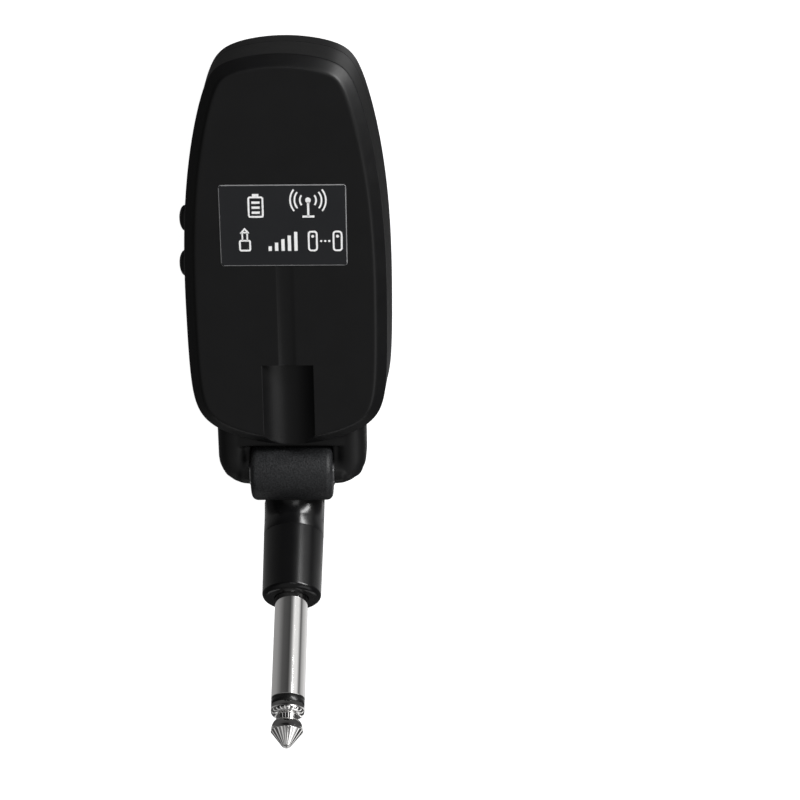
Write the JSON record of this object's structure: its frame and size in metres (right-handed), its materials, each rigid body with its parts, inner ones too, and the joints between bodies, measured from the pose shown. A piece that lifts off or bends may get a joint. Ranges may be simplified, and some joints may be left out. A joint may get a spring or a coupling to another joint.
{
  "type": "wireless guitar transmitter",
  "caption": "Pocket wireless transmitter for an electric guitar: a slim flat case with side buttons and a folding jack plug on a fork hinge.",
  "frame": {"origin": "middle of the flat front face that the case rests on", "axes": "+Z out of the rear face with the label, +Y towards the top end, +X to the side away from the buttons"},
  "size_m": [0.0402, 0.1244, 0.0508],
  "materials": {
    "case_plastic": "fine-grained matt black",
    "hinge_plastic": "satin black",
    "gloss_inlay": "polished black",
    "clear_plastic": "clear, diffusing",
    "label_film": "smooth black film with white print",
    "steel": "plain steel",
    "jack_chrome": "mirror nickel-chrome plate",
    "insulator": "black moulded ring",
    "nut_brass": "plain brass",
    "tinned_sheet": "tinned sheet metal",
    "foam": "black foam tape",
    "battery_foil": "laminated foil pouch",
    "wire_sleeve": "soft vinyl",
    "pale_plastic": "natural moulded plastic",
    "circuit_board": "green solder mask",
    "chip_plastic": "black epoxy"
  },
  "bodies": {
    "case": {"front_shell": "case_plastic", "rear_shell": "case_plastic", "front_inlay": "gloss_inlay", "light_guide": "clear_plastic", "rear_label": "label_film", "hinge_fork": "hinge_plastic", "fork_screws": "steel", "case_screws": "steel", "battery_pad": "foam", "battery_cell": "battery_foil", "battery_leads": "wire_sleeve", "battery_connector": "pale_plastic", "main_board": "circuit_board", "board_screws": "steel", "rf_shield": "tinned_sheet", "radio_chip": "chip_plastic", "audio_chip": "chip_plastic", "charger_chip": "chip_plastic", "board_passives": "chip_plastic", "chip_antenna": "pale_plastic", "usb_socket": "tinned_sheet", "status_leds": "pale_plastic", "tact_switches": "tinned_sheet", "board_wires": "wire_sleeve", "hinge_cap": "hinge_plastic", "friction_washers": "steel"},
    "plug_arm": {"hinge_pin": "steel", "hinge_knuckle": "hinge_plastic", "plug_cover": "hinge_plastic", "jack_shaft": "jack_chrome", "jack_insulator": "insulator", "jack_tip": "jack_chrome", "jack_nut": "nut_brass", "ground_tag": "tinned_sheet", "tip_tag": "tinned_sheet", "plug_wires": "wire_sleeve"},
    "power_key": {"power_button": "case_plastic", "power_plunger": "pale_plastic"},
    "channel_key": {"channel_button": "case_plastic", "channel_plunger": "pale_plastic"}
  },
  "joints": [
    {"name": "plug_fold", "type": "hinge", "parent": "case", "child": "plug_arm", "pos_m": [0, -0.0448, 0.0143], "axis": [1, 0, 0], "range_deg": [-129.5, 50.5]},
    {"name": "power_press", "type": "slide", "parent": "case", "child": "power_key", "axis": [1, 0, 0], "range_m": [0, 0.0003], "stiffness_N_per_m": 4000},
    {"name": "channel_press", "type": "slide", "parent": "case", "child": "channel_key", "axis": [1, 0, 0], "range_m": [0, 0.0003], "stiffness_N_per_m": 4000}
  ]
}
